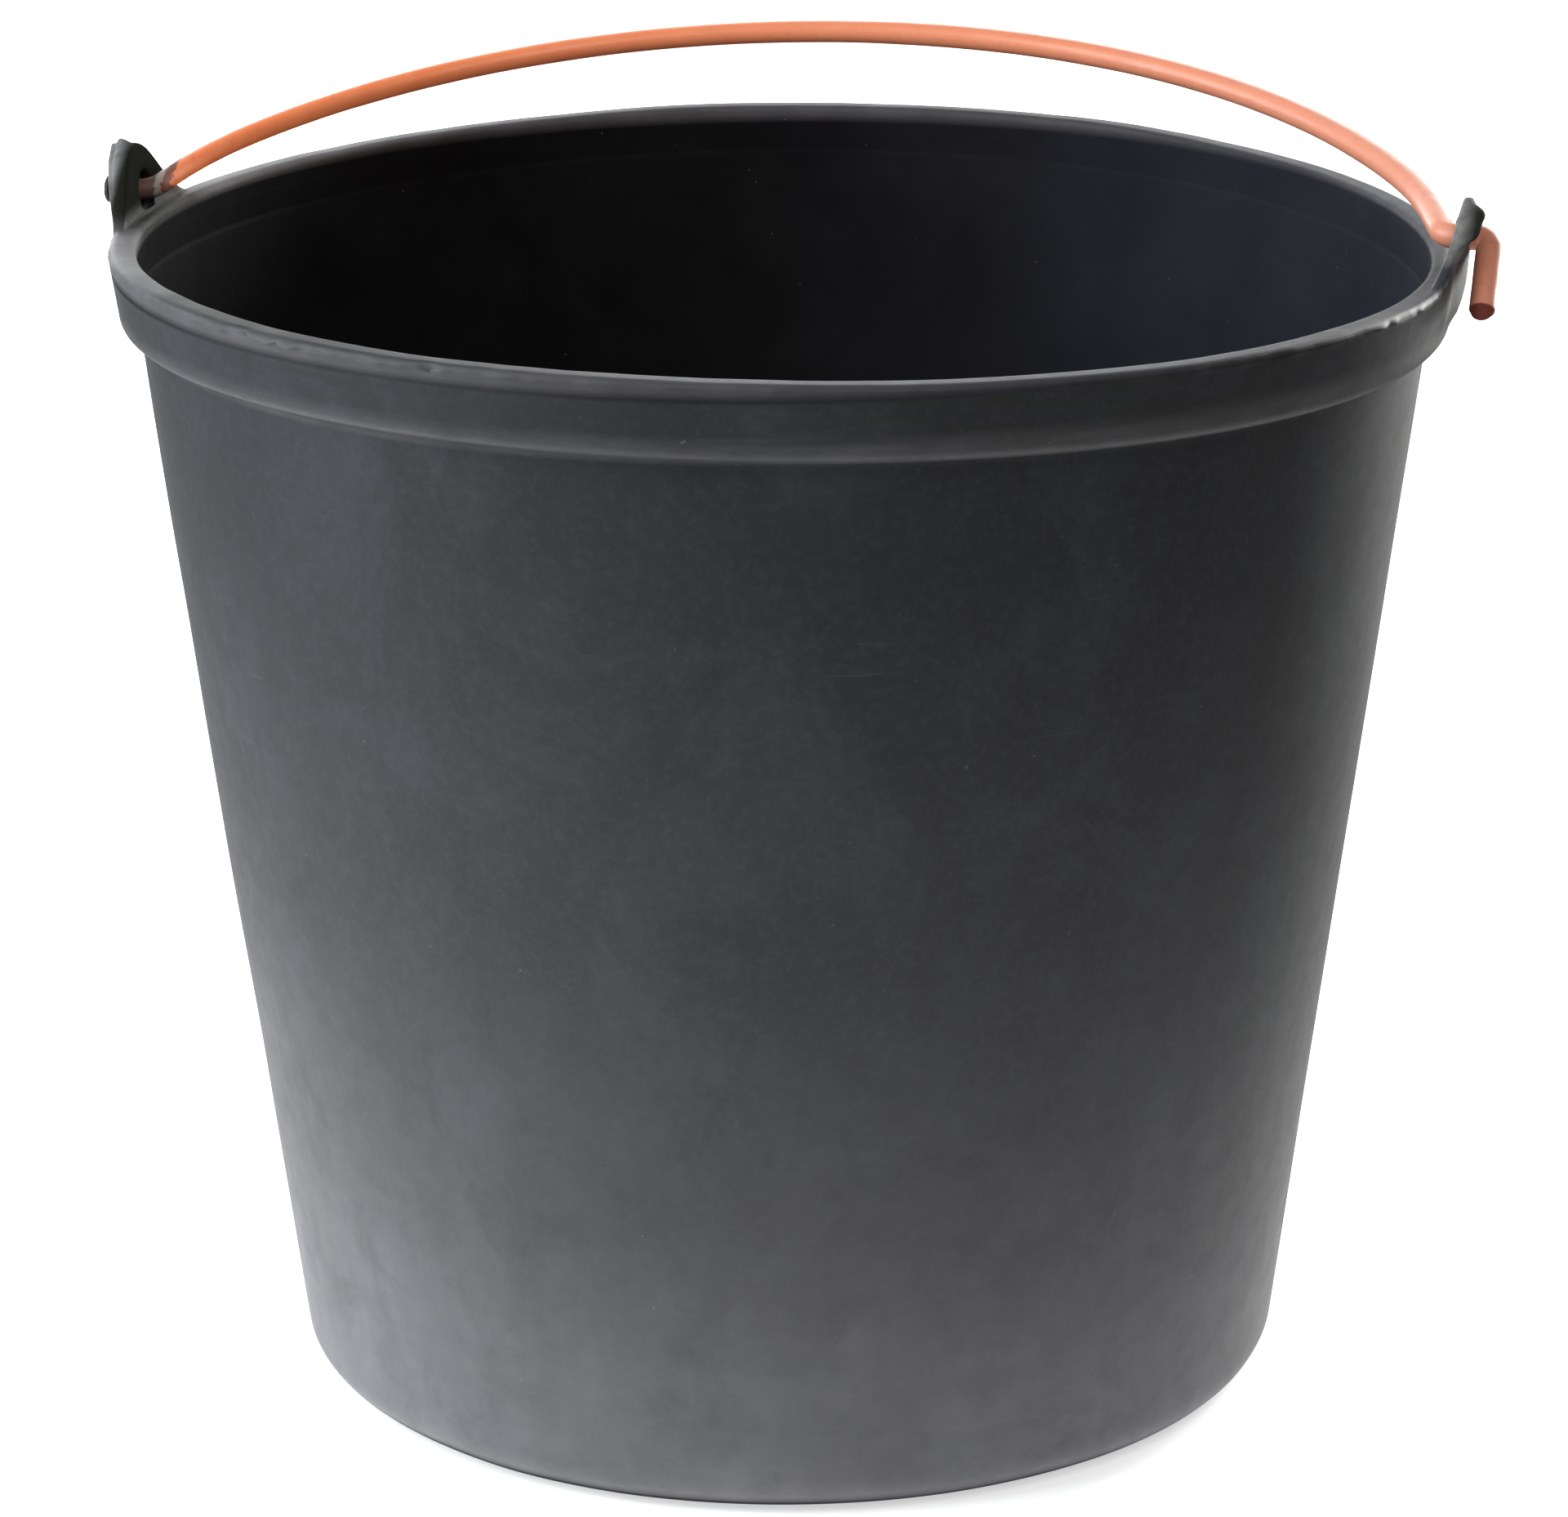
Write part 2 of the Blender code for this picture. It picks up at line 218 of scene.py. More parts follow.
def rounded(corners):
    """Evenly spaced points along (r, z, fillet) corners, with real fillets."""
    places = [np.array(corner[:2], float) for corner in corners]
    points = [places[0]]
    for before, corner, after, (_, _, fillet) in zip(places, places[1:], places[2:], corners[1:]):
        back = (before - corner) / np.linalg.norm(before - corner)
        ahead = (after - corner) / np.linalg.norm(after - corner)
        opening = math.acos(max(-1, min(1, float(back @ ahead))))
        cut = fillet / math.tan(opening / 2)
        start, end = corner + back * cut, corner + ahead * cut
        middle = (back + ahead) / np.linalg.norm(back + ahead)
        centre = corner + middle * (fillet / math.sin(opening / 2))
        points.extend(straight(points[-1], start))
        steps = max(3, int(math.ceil((math.pi - opening) * fillet / (SPACING * 0.45))))
        first = math.atan2(*(start - centre)[::-1])
        last = math.atan2(*(end - centre)[::-1])
        sweep = (last - first + math.pi) % (2 * math.pi) - math.pi
        for k in range(1, steps + 1):
            t = first + sweep * k / steps
            points.append(centre + fillet * np.array([math.cos(t), math.sin(t)]))
    points.extend(straight(points[-1], places[-1]))
    return points


def outer_rows():
    """From under the base, up the outside and onto the lip."""
    outer = rounded([(12.0, 0.0, 0), (BASE_R, 0.0, 12.0), (WALL_TOP_R, BAND_Z, 0.7),
                     (RIM_OUTER_R - 3.1, BAND_Z + 0.25, 3.6), (RIM_OUTER_R + 0.05, HEIGHT, 1.7),
                     (EAR_INNER_R + 0.6, HEIGHT, 0)])
    dense = [outer[0]]
    for (r0, z0), (r1, z1) in zip(outer, outer[1:]):
        # the part of the band that stretches into the ears is cut finer
        parts = 4 if z1 > HEIGHT - 9.0 and r1 > RIM_OUTER_R - 1.2 else 1
        dense += [(r0 + (r1 - r0) * k / parts, z0 + (z1 - z0) * k / parts)
                  for k in range(1, parts + 1)]
    stations, lifts, pushes = zip(*BAND_GROWTH)
    flat_r = RIM_OUTER_R - 1.6
    rows = []
    for r, z in dense:
        if r < RIM_INNER_R - 0.5 or z < BAND_Z + 0.1:
            lift, push = 0.0, 0.0
        elif z < HEIGHT - 0.001 or r > flat_r:
            lift, push = np.interp(z, stations, lifts), np.interp(z, stations, pushes)
        else:
            lift, push = 1.0, np.interp(r, [EAR_INNER_R + 0.55, flat_r], [0.68, 1.0])
        rows.append((r, z, lift, push))
    return rows


def lip_rows():
    """The flat of the lip, finely cut where the ear's inner face comes out of it."""
    stations, lifts, pushes = zip(*LIP_GROWTH)
    rows = []
    for k in range(1, LIP_ROWS + 1):
        inward = stations[0] + (stations[-1] - stations[0]) * (k / LIP_ROWS) ** 1.35
        rows.append((EAR_INNER_R - inward, HEIGHT,
                     np.interp(inward, stations, lifts), np.interp(inward, stations, pushes)))
    return rows


def inner_rows(start_r):
    """Over the recessed rim and down the bowl to the middle of its floor."""
    step_z = HEIGHT - RIM_RECESS_H
    inner = rounded([(start_r, HEIGHT, 0), (RIM_INNER_R, HEIGHT, 1.7),
                     (RIM_INNER_R - 0.6, step_z, 0.6), (RIM_INNER_R - 1.0, step_z - 1.1, 0.6),
                     (wall_r(190.0) - 3.2, 190.0, 60.0),
                     (wall_r(FLOOR_T) - WALL_T, FLOOR_T, 11.0), (10.0, FLOOR_T, 0)])
    return [(r, z, 0.0, 0.0) for r, z in inner[1:]]


def profile():
    """(r, z, lift, push) of the pail, from under the base to the inner floor."""
    rows = outer_rows() + lip_rows()
    return np.array(rows + inner_rows(rows[-1][0]))


# ------------------------------------------------------------------ pail surface
def ring_angles():
    """Ring angles, closer together through the ears."""
    angles = []
    for ear in (0.0, math.pi):
        start, end = ear - EAR_HALF_ANGLE, ear + EAR_HALF_ANGLE
        angles += list(np.linspace(start, end, EAR_STEPS, endpoint=False))
        angles += list(np.linspace(end, ear + math.pi - EAR_HALF_ANGLE, SIDE_STEPS, endpoint=False))
    return np.array(angles)


def waves(angle, amounts):
    total, pairs = amounts
    for n, (cosine, sine) in enumerate(pairs, start=1):
        total = total + cosine * np.cos(n * angle) + sine * np.sin(n * angle)
    return total


def ear_shape(y):
    aside = np.clip(np.abs(y) / EAR_HALF_W, 0, 1)
    return np.cos(math.pi / 2 * aside) ** 1.85


def near_ears(angle, widening=1.0):
    """1 at the middle of each ear, 0 away from them."""
    y = RIM_OUTER_R * np.sin(angle)
    return np.where(np.cos(angle) ** 2 > 0.8, ear_shape(y * widening), 0)


def with_ears(angle, flat_r, flat_z, lift, push, outside):
    """Radius and height with the two ears, a little different from each other."""
    y = RIM_OUTER_R * np.sin(angle)
    left = np.cos(angle) < 0
    share = near_ears(angle)
    r = flat_r + EAR_PROUD * push * share
    # the left ear is thicker towards the mouth, the right one leans out
    inner_face = ~outside & (lift > 0)
    lean = np.where(inner_face, np.where(left, -1.3, 0.5), 0.0)
    r += lean * share * np.sin(lift * math.pi / 2)
    r += np.where(left, 1.3, 0.5) * push * share

    # the right ear: a thick outer corner on top in front, hollow below and behind it
    raised = flat_z + EAR_RISE * lift * share
    ahead = smoothstep(1.0, 7.0, -y)
    high = smoothstep(298.0, 303.5, raised) * ahead
    front = smoothstep(4.0, 11.0, -y) * smoothstep(294.8, 299.0, raised)
    hollow = (1 - smoothstep(296.0, 300.5, raised) * ahead) * (1 - front)
    soft = push * np.sqrt(share)
    bulge = RIGHT_EAR_BULGE * (1 - (1 - high) * (1 - front))
    top_reach = np.clip((flat_r - EAR_INNER_R - 0.5) / 1.5, 0, 1) * smoothstep(0.9, 1.0, lift)
    reach = np.where(left, 0.0, np.where(outside, 1.0, top_reach))
    r += reach * bulge * soft
    r -= reach * RIGHT_EAR_HOLLOW * hollow * soft * smoothstep(0.15, 0.5, share)
    z = flat_z + EAR_RISE * lift * share * np.where(left, 1.06, 1.03)

    # faces of the ears aren't quite true
    face_noise = value_noise(angle / (2 * math.pi) * 6, (z - 270) / 40, 24, 5, 41)
    r += 0.15 * share * face_noise * np.clip(push * 2, 0, 1)
    nub = bell(y - NUB_Y, NUB_W) * smoothstep(EAR_INNER_R + 0.5, EAR_INNER_R + 1.4, flat_r)
    on_left_ear = left & (np.cos(angle) ** 2 > 0.8)
    z += np.where(on_left_ear, nub, 0) * NUB_H * smoothstep(0.55, 1.0, lift)
    return r, z


def pail_points(angle, rows):
    """Points of the shell in mm: one ring angle per row, one profile point per column."""
    flat_r, flat_z, lift, push = rows.T[:, None, :]
    along = np.concatenate([[0], np.cumsum(np.hypot(np.diff(rows[:, 0]), np.diff(rows[:, 1])))])
    along = (along / along[-1])[None, :]
    lip = int(np.argmax(rows[:, 2] + 0.001 * rows[:, 0]))
    outside = (np.arange(len(rows)) <= lip)[None, :]
    around = angle / (2 * math.pi)
    turn = np.mod(angle, 2 * math.pi)
    height = flat_z / HEIGHT
    r, z = with_ears(angle, flat_r, flat_z, lift, push, outside)

    # slow unevenness of a rubber moulding, fading out at the ears and the ground
    calm = 1 - 0.85 * near_ears(angle, widening=0.75)
    uneven = (value_noise(around, height, 7, 4, 11) * 0.40
              + value_noise(around, height, 17, 9, 12) * 0.16)
    r += uneven * calm * smoothstep(0.03, 0.3, height)
    # the mouth isn't a true circle, and its rim isn't quite level
    r += waves(angle, MOUTH_OUT) * height ** 1.5
    z += waves(angle, MOUTH_UP) * np.clip(height, 0, 1) ** 3
    # base edge: slightly flattened in places
    edge = bell(flat_z - 2.5, 4.0) * outside * (flat_r > BASE_R - 14)
    r -= edge * (0.35 + 0.65 * ring_noise(around, 23, 51)) * 0.7
    # lip: slight waves in height
    lipness = smoothstep(HEIGHT - 6, HEIGHT - 1, flat_z)
    z += lipness * calm * (value_noise(around, along, 26, 1, 21) * 0.28
                           + value_noise(around, along, 90, 1, 22) * 0.10)
    # traces of flash on its outer corner, most of it front left
    corner = bell(flat_z - (HEIGHT - 1.2), 0.9) * (flat_r > RIM_OUTER_R - 2.2)
    rag = ring_noise(around, 150, 23) * 0.7 + ring_noise(around, 420, 24) * 0.6
    rag = np.clip(rag, -0.2, 1)
    amount = 0.25 + 0.75 * np.clip(ring_noise(around, 9, 25) + 0.35, 0, 1)
    amount = amount + 1.1 * bell(turn - math.radians(238), math.radians(18))
    r += corner * calm * rag * amount * 0.90
    z -= corner * calm * np.clip(rag, 0, 1) * amount * 0.45
    for at, width, depth in NICKS:
        cut = bell((turn - math.radians(at)) * RIM_OUTER_R, width) * corner
        r -= cut * depth
        z -= cut * depth * 0.6
    # keep the seat flat and on the ground
    z = np.where(flat_z < 0.001, 0, z)
    return np.stack([r * np.cos(angle), r * np.sin(angle), z], -1)


def build_shell():
    points = pail_points(ring_angles()[:, None], profile())
    index = np.arange(points.shape[0] * points.shape[1]).reshape(points.shape[:2])
    beside = np.roll(index, -1, 0)
    quads = np.stack([index[:, :-1], beside[:, :-1], beside[:, 1:], index[:, 1:]], -1)
    faces = quads.reshape(-1, 4).tolist()
    faces.append(index[::-1, 0].tolist())
    faces.append(index[:, -1].tolist())
    mesh = bpy.data.meshes.new("rubber_pail")
    mesh.from_pydata((points.reshape(-1, 3) * MM).tolist(), [], faces)
    mesh.update()
    bm = bmesh.new()
    bm.from_mesh(mesh)
    bmesh.ops.recalc_face_normals(bm, faces=bm.faces)
    bm.to_mesh(mesh)
    bm.free()
    return add_object("rubber_pail", mesh)


def hole_cutter(side):
    """A short trumpet along X: a round hole whose edges are softened."""
    face_in = EAR_INNER_R + 0.9 * side
    face_out = RIM_OUTER_R + EAR_PROUD + (0.0 if side > 0 else -1.0)
    # distance from the axis of the pail, radius
    stations = (
        (EAR_INNER_R - 6.0, EAR_HOLE_R + 0.1), (face_in - 0.9, EAR_HOLE_R + 0.1),
        (face_in - 0.8, EAR_HOLE_R + 1.9), (face_in + 0.2, EAR_HOLE_R + 1.3),
        (face_in + 0.9, EAR_HOLE_R + 0.35), (face_in + 1.4, EAR_HOLE_R),
        (face_out - 1.4, EAR_HOLE_R), (face_out - 0.8, EAR_HOLE_R + 0.1),
        (face_out - 0.2, EAR_HOLE_R + 0.45), (face_out + 0.3, EAR_HOLE_R + 0.9),
        (RIM_OUTER_R + EAR_PROUD + 5.0, EAR_HOLE_R + 2.2),
    )
    turns = np.linspace(0, 2 * math.pi, HOLE_SIDES, endpoint=False)
    return skin("cut", [[(side * x * MM, r * math.cos(t) * MM, (PIVOT.z + r * math.sin(t)) * MM)
                         for t in turns] for x, r in stations])


def cut_holes(shell):
    for side in (-1, 1):
        cutter = hole_cutter(side)
        boolean = shell.modifiers.new("hole", "BOOLEAN")
        boolean.operation = "DIFFERENCE"
        boolean.solver = "EXACT"
        boolean.object = cutter
        graph = bpy.context.evaluated_depsgraph_get()
        mesh = bpy.data.meshes.new_from_object(shell.evaluated_get(graph))
        shell.modifiers.clear()
        uncut, cutter_mesh = shell.data, cutter.data
        shell.data = mesh
        bpy.data.meshes.remove(uncut)
        bpy.data.objects.remove(cutter)
        bpy.data.meshes.remove(cutter_mesh)
    shell.data.name = "rubber_pail"


# ------------------------------------------------------------------ bail
def leaning(angle):
    """Unit vector in the bail's plane, at an angle from straight up."""
    return Vector((math.sin(angle), 0, math.cos(angle)))


def arc(centre, start, normal, angle, steps=16):
    return [centre + Matrix.Rotation(angle * i / steps, 3, normal) @ (start - centre)
            for i in range(1, steps + 1)]


def half_path(hooked):
    """Centre line of the right half of the unfolded bail, from its middle to its end."""
    shift = BAIL_SHIFT if hooked else -BAIL_SHIFT
    bow_centre = Vector((shift, 0, BAIL_RISE - BOW_R))
    points = [bow_centre + BOW_R * leaning(BOW_HALF * i / 72) for i in range(73)]
    shoulder_centre = points[-1] - SHOULDER_R * leaning(BOW_HALF)
    points += [shoulder_centre + SHOULDER_R * leaning(BOW_HALF + (LEG - BOW_HALF) * i / 12)
               for i in range(1, 13)]
    # straight leg down to the pivot line, then an elbow out along it
    leg = Vector((math.cos(LEG), 0, -math.sin(LEG)))
    shoulder = points[-1]
    corner = shoulder + leg * (shoulder.z / -leg.z)
    start = corner - leg * (ELBOW_R * math.tan(LEG / 2))
    points += [shoulder.lerp(start, k / 5) for k in range(1, 6)]
    points += arc(start + ELBOW_R * leaning(LEG), start, Vector((0, 1, 0)), -LEG)
    pin_x = points[-1].x + 0.8
    if not hooked:
        points += [Vector((x, 0, 0)) for x in np.linspace(pin_x, HEAD_X - 0.4, 8)]
        return points + [Vector((HEAD_X + beyond, 0, 0)) for beyond, _ in HEAD_STATIONS]
    bend = Vector((HOOK_X - HOOK_R, 0, 0))
    points += [Vector((x, 0, 0)) for x in np.linspace(pin_x, bend.x, 8)]
    hook_axis = Vector((1, 0, 0)).cross(TAIL_DIR)
    points += arc(bend + TAIL_DIR * HOOK_R, bend, hook_axis, math.pi / 2)
    turn = points[-1]
    end = Vector((HOOK_X, 0, 0)) + TAIL_DIR * TAIL_REACH
    return points + [turn.lerp(end, k / 12) for k in range(1, 13)]


def tube(name, path, radii, sides):
    """A closed tube along path, with a radius for each point."""
    tangents = []
    for i, point in enumerate(path):
        before = (point - path[i - 1]).normalized() if i else (path[1] - path[0]).normalized()
        after = (path[i + 1] - point).normalized() if i + 1 < len(path) else before
        tangents.append((before + after).normalized())
    normal = tangents[0].orthogonal().normalized()
    turns = [2 * math.pi * k / sides for k in range(sides)]
    rings = []
    for point, radius, tangent in zip(path, radii, tangents):
        normal = (normal - tangent * normal.dot(tangent)).normalized()
        across = tangent.cross(normal)
        rings.append([(point + radius * (normal * math.cos(t) + across * math.sin(t))) * MM
                      for t in turns])
    return skin(name, rings)


def build_bail():
    left = [Vector((-p.x, p.y, p.z)) for p in reversed(half_path(False)[1:])]
    local = left + half_path(True)
    waver = value_noise(np.arange(len(local)) / 60.0, 0.0, 9, 1, 31).tolist()
    radii = [COAT_R_LEFT + (COAT_R_RIGHT - COAT_R_LEFT) * (p.x + HOOK_X) / (2 * HOOK_X)
             + COAT_WAVER * w for p, w in zip(local, waver)]
    # the path starts at the outer face of the left head
    radii[:len(HEAD_STATIONS)] = [HEAD_R - drop for _, drop in reversed(HEAD_STATIONS)]
    # dipped end of the hook: a soft dome just over the wire's end
    tail = (local[-1] - local[-2]).normalized()
    end, full = local.pop(), radii.pop()
    for t in np.linspace(0, math.pi / 2, 7)[:-1]:
        local.append(end + tail * float(DOME_R * math.sin(t)))
        radii.append(float(full - DOME_R + DOME_R * math.cos(t)))
    for shrink, inward in DOME_FACE:
        local.append(end + tail * (DOME_R - inward))
        radii.append(full - shrink)
    return tube("dipped_bail", [PIVOT + FOLD @ p for p in local], radii, BAIL_SIDES)


pail = build_shell()
cut_holes(pail)
smooth_shade(pail, sharp_angle=48)
bail = build_bail()
smooth_shade(bail, sharp_angle=50)


# ------------------------------------------------------------------ node graphs
class Graph:
    """Builds the nodes of a material or a world; positions are in metres."""

    def __init__(self, owner, coordinates):
        owner.use_nodes = True
        self.owner = owner
        self.tree = owner.node_tree
        self.place = self.node("TexCoord", {}).outputs[coordinates]

    def node(self, kind, inputs, **settings):
        node = self.tree.nodes.new("ShaderNode" + kind)
        for name, value in settings.items():
            setattr(node, name, value)
        self.fill(node, inputs)
        return node

    def fill(self, node, inputs):
        for key, value in inputs.items():
            if isinstance(value, bpy.types.NodeSocket):
                self.tree.links.new(value, node.inputs[key])
            else:
                node.inputs[key].default_value = value

    def surface(self, inputs):
        self.fill(self.tree.nodes["Principled BSDF"], inputs)

    def split(self, vector):
        return self.node("SeparateXYZ", {0: vector}).outputs

    def split_place(self):
        self.x, self.y, self.z = self.split(self.place)

    def camera_ray(self):
        return self.node("LightPath", {}).outputs["Is Camera Ray"]

    def noise(self, scale, detail=3.0, rough=0.5, warp=0.0, stretch=None, vector=None):
        if vector is None:
            vector = self.scaled(stretch) if stretch else self.place
        return self.node("TexNoise", {"Vector": vector, "Scale": scale, "Detail": detail,
                                      "Roughness": rough, "Distortion": warp}).outputs["Fac"]

    def scaled(self, scale):
        return self.node("Mapping", {"Vector": self.place, "Scale": scale}).outputs["Vector"]

    def ramp(self, factor, *stops, interp="LINEAR"):
        """Colour ramp through (position, grey or colour) stops."""
        node = self.node("ValToRGB", {"Fac": factor})
        node.color_ramp.interpolation = interp
        while len(node.color_ramp.elements) < len(stops):
            node.color_ramp.elements.new(0.5)
        for element, (position, value) in zip(node.color_ramp.elements, stops):
            element.position = position
            element.color = (*value, 1) if isinstance(value, tuple) else (value, value, value, 1)
        return node.outputs["Color"]

    def rise(self, factor, start=0.0, end=1.0):
        return self.ramp(factor, (start, 0.0), (end, 1.0))

    def edge(self, value, start, steepness, end=1.0):
        """0 up to start, then rising to 1 over end / steepness."""
        return self.rise(self.mul(self.sub(value, start), steepness), end=end)

    def across(self, *stops, steepness, interp="LINEAR"):
        """Ramp along X, with 0.5 at the middle of the pail."""
        return self.ramp(self.add(self.mul(self.x, steepness), 0.5), *stops, interp=interp)

    def math(self, operation, first, second=0.0, clamp=False):
        return self.node("Math", {0: first, 1: second}, operation=operation,
                         use_clamp=clamp).outputs[0]

    def add(self, first, second):
        return self.math("ADD", first, second)

    def sub(self, first, second):
        return self.math("SUBTRACT", first, second)

    def mul(self, first, *others):
        for other in others:
            first = self.math("MULTIPLY", first, other)
        return first

    def div(self, first, second):
        return self.math("DIVIDE", first, second)

    def largest(self, first, second):
        return self.math("MAXIMUM", first, second)

    def inverse(self, value):
        return self.sub(1.0, value)

    def radius(self):
        return self.math("SQRT", self.add(self.mul(self.x, self.x), self.mul(self.y, self.y)))

    def mix(self, factor, under, over, blend="MIX"):
        under, over = (v if isinstance(v, bpy.types.NodeSocket) else (*v, 1)
                       for v in (under, over))
        return self.node("Mix", {0: factor, 6: under, 7: over}, data_type="RGBA",
                         blend_type=blend).outputs[2]

    def paint(self, colour, *masks, tint, strength):
        return self.mix(self.mul(*masks, strength), colour, tint)

    def bump(self, height, strength, distance, under=None):
        inputs = {"Strength": strength, "Distance": distance, "Height": height}
        if under is not None:
            inputs["Normal"] = under
        return self.node("Bump", inputs).outputs["Normal"]


def new_material(name):
    return Graph(bpy.data.materials.new(name), "Object")


# ------------------------------------------------------------------ rubber
# pale film over the rubber, paler towards the ground: height as a share of FILM_H, share of film
FILM_H = 0.289
FILM = ((0.0, 0.78), (0.10, 0.76), (0.28, 0.42), (0.55, 0.150), (0.9, 0.095))
FILM_LOW = (0.205, 0.203, 0.222)
FILM_HIGH = (0.165, 0.195, 0.230)
LIP_MIX = 0.62
# thin pale scratches, level and upright: stretch of the pattern, offset of the pattern
SCRATCHES = (((1.0, 1.0, 0.06), 0.0), ((0.08, 0.08, 1.0), 3.7))


def outside_mask(mat):
    """1 on the outside of the wall, 0 in the bowl."""
    radius = mat.radius()
    above = mat.edge(mat.z, start=0.2825, steepness=250.0)
    wall = mat.add(mat.mul(mat.z, math.tan(SLOPE)), (BASE_R - 3.2) * MM)
    wall = mat.add(wall, mat.mul(above, 0.0082))
    outside = mat.edge(radius, start=wall, steepness=400.0, end=0.8)
    # the mouth is out of round, so a face that looks towards the axis is the bowl's too
    normal_x, normal_y, normal_z = mat.split(mat.node("NewGeometry", {}).outputs["Normal"])
    facing = mat.div(mat.add(mat.mul(normal_x, mat.x), mat.mul(normal_y, mat.y)), radius)
    downward = mat.largest(mat.mul(normal_z, -1.0), 0.0)
    facing = mat.add(facing, mat.mul(downward, 0.5))
    return mat.mul(outside, mat.largest(above, mat.rise(facing, start=0.02, end=0.25)))


def bare_rubber(mat, outside, mottle):
    def two_tone(dark, pale):
        return mat.ramp(mottle, (0.30, dark), (0.72, pale))

    bowl_left = two_tone(dark=(0.0074, 0.0074, 0.0077), pale=(0.0125, 0.0125, 0.0131))
    # the bowl's right side is paler and bluer: painted light from the key light on the left
    bowl_right_painted_light = two_tone(dark=(0.0200, 0.0210, 0.0285), pale=(0.0270, 0.0285, 0.0370))
    rightness = mat.across((0.30, 0.0), (0.90, 1.0), steepness=3.0, interp="EASE")
    wall = two_tone(dark=(0.0050, 0.0052, 0.0062), pale=(0.0088, 0.0092, 0.0112))
    return mat.mix(outside, mat.mix(rightness, bowl_left, bowl_right_painted_light), wall)


def pale_film_and_painted_light(mat, height, mottle):
    """Pale film, paler towards the ground and cloudy; the extra on the left is painted light from
    the key light.
    """
    broad = mat.noise(scale=7.0, detail=4.0, rough=0.55, warp=0.3)
    cloud = mat.noise(scale=60.0, detail=5.0, rough=0.6, warp=0.3, stretch=(1, 1, 0.45))
    return mat.mul(mat.ramp(height, *FILM, interp="EASE"),
                   mat.ramp(broad, (0.25, 0.72), (0.75, 1.0)),
                   mat.ramp(mottle, (0.2, 0.80), (0.8, 1.0)),
                   mat.ramp(cloud, (0.30, 0.68), (0.68, 1.0)),
                   # more of it on the left: painted light where the key light falls
                   mat.across((0.08, 0.40), (0.5, 0.58), (0.88, 1.0), steepness=-3.2))


def paint_wall(mat, colour, outside):
    # streaks of dried water and dust just above the ground
    low = mat.ramp(mat.div(mat.z, 0.075), (0.0, 1.0), (0.35, 0.55), (1.0, 0.0))
    streak = mat.noise(scale=30.0, detail=5.0, rough=0.65, warp=0.5, stretch=(1, 1, 3.2))
    colour = mat.paint(colour, low, outside, mat.rise(streak, start=0.42, end=0.72),
                       tint=(0.20, 0.195, 0.19), strength=0.16)
    # chalky blotches, dull patches and a fine grain over the whole outside
    blotch = mat.noise(scale=24.0, detail=7.0, rough=0.74, warp=0.6, stretch=(1, 1, 0.7))
    colour = mat.paint(colour, mat.rise(blotch, start=0.47, end=0.68), outside,
                       tint=(0.082, 0.090, 0.106), strength=0.20)
    dull = mat.noise(scale=38.0, detail=6.0, rough=0.72, warp=0.4)
    colour = mat.paint(colour, mat.rise(dull, start=0.50, end=0.70), outside,
                       tint=(0.012, 0.013, 0.013), strength=0.38)
    grain = mat.noise(scale=430.0, detail=3.0, rough=0.7)
    return mat.paint(colour, mat.rise(grain, start=0.46, end=0.70), outside,
                     tint=(0.105, 0.108, 0.115), strength=0.11)


def paint_band(mat, colour, outside):
    """Painted highlight in grey along the band's lower bulge, where light from the floor falls;
    streaks along its face.
    """
    band = mat.div(mat.sub(mat.z, 0.2695), 0.0195)
    bulge = mat.ramp(band, (0.0, 0.0), (0.06, 1.0), (0.26, 0.9), (0.44, 0.0))
    wear_and_painted_light = mat.noise(scale=60.0, detail=4.0, rough=0.6, stretch=(1, 1, 3.0))
    # painted highlight on the lower bulge, broken up by noise
    colour = mat.paint(colour, bulge, mat.ramp(wear_and_painted_light, (0.30, 0.45), (0.70, 1.0)), outside,
                       tint=(0.125, 0.123, 0.128), strength=0.55)
    face = mat.mul(mat.ramp(band, (0.22, 0.0), (0.36, 1.0), (0.90, 1.0), (0.97, 0.0)),
                   outside, mat.across((0.0, 0.35), (0.6, 1.0), steepness=5.0))
    lines = mat.noise(scale=30.0, detail=5.0, rough=0.65, warp=0.2, stretch=(1, 1, 16.0))
    return mat.paint(colour, mat.rise(lines, start=0.44, end=0.66), face,
                     tint=(0.014, 0.0145, 0.0115), strength=0.75)


def paint_lip_wear_and_sheen(mat, colour, lip):
    """The lip is grey on top: partly rubbed wear, partly a painted sheen, and stronger on the left
    as painted light from the key light.
    """
    # more of it on the left: painted light from the key light
    leftness = mat.across((0.0, 0.12), (0.8, 1.0), steepness=-2.6)
    rubs = mat.ramp(mat.noise(scale=70.0, detail=4.0, rough=0.6), (0.3, 0.65), (0.7, 1.0))
    return mat.mix(mat.mul(mat.mul(lip, LIP_MIX), mat.mul(leftness, rubs)), colour,
                   (0.185, 0.180, 0.190))


